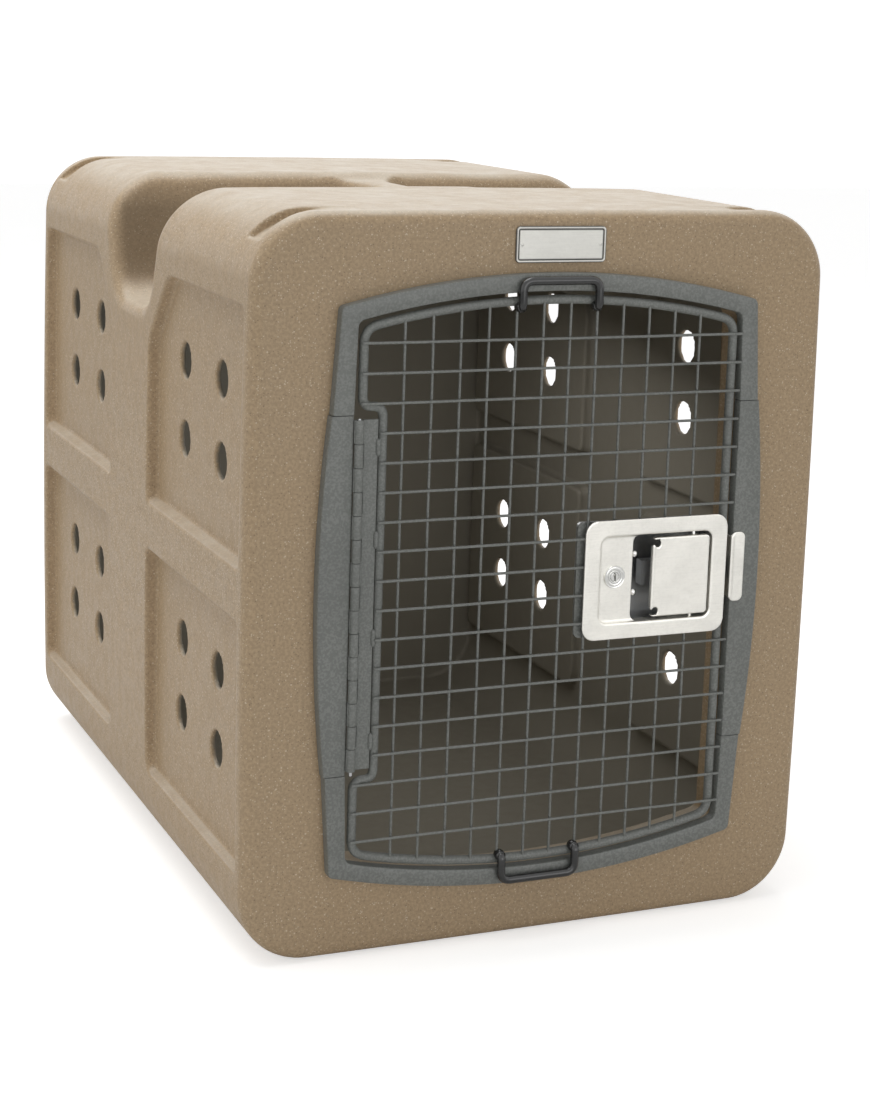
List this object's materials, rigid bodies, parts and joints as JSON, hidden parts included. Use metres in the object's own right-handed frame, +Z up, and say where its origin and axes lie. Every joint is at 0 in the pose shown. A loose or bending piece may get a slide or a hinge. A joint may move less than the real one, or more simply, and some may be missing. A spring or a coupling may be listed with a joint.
{
  "type": "pet transport carrier",
  "caption": "Moulded one-piece pet carrier with recessed vented sides, a top channel with a handle and a hinged wire-mesh door with a paddle latch.",
  "frame": {"origin": "middle of the bounding box's base, on the floor under the carrier", "axes": "+Z up, -Y out of the door, +X to the right of someone facing the door"},
  "size_m": [0.546, 0.7682, 0.648],
  "materials": {
    "moulding": "rotomoulded granite-flecked polyethylene, matte",
    "coat": "hammered grey-green powder coat over welded steel",
    "stainless": "satin stainless steel sheet",
    "zinc": "zinc-plated steel",
    "vinyl": "glossy black vinyl dip over steel rod",
    "plate": "pale satin aluminium, left blank"
  },
  "bodies": {
    "carrier": {"body_shell": "moulding", "nameplate": "plate", "frame_top_arch": "coat", "frame_bottom_arch": "coat", "frame_left_post": "coat", "frame_right_post": "coat", "frame_nuts": "zinc", "strike_plate": "stainless", "hinge_frame_leaf": "coat", "hinge_pin": "zinc"},
    "door": {"hinge_door_leaf": "coat", "door_rim": "coat", "mesh_vertical_wires": "coat", "mesh_horizontal_wires": "coat", "top_stop_loop": "vinyl", "bottom_stop_loop": "vinyl", "latch_back_plate": "coat", "latch_pan": "stainless", "latch_case": "zinc", "latch_rivets": "stainless", "lock_barrel": "stainless", "paddle_pin": "zinc"},
    "paddle": {"latch_paddle": "stainless"},
    "bolt": {"latch_bolt": "zinc"},
    "lock": {"lock_plug": "stainless", "lock_cam": "zinc"}
  },
  "joints": [
    {"name": "door_swing", "type": "hinge", "parent": "carrier", "child": "door", "pos_m": [-0.1791, -0.37585, 0.324], "axis": [0, 0, -1], "range_deg": [0, 150]},
    {"name": "paddle_pull", "type": "hinge", "parent": "door", "child": "paddle", "pos_m": [0.144, -0.37385, 0.324], "axis": [0, 0, 1], "range_deg": [0, 40], "stiffness_Nm_per_rad": 0.12},
    {"name": "bolt_slide", "type": "slide", "parent": "door", "child": "bolt", "axis": [-1, 0, 0], "range_m": [0, 0.0101], "stiffness_N_per_m": 12},
    {"name": "lock_turn", "type": "hinge", "parent": "door", "child": "lock", "pos_m": [0.065, -0.37935, 0.3265], "axis": [0, 1, 0], "range_deg": [0, 90]}
  ],
  "couplings": [
    {"joint": "bolt_slide", "follows": "paddle_pull", "m_per_rad": 0.0144}
  ]
}
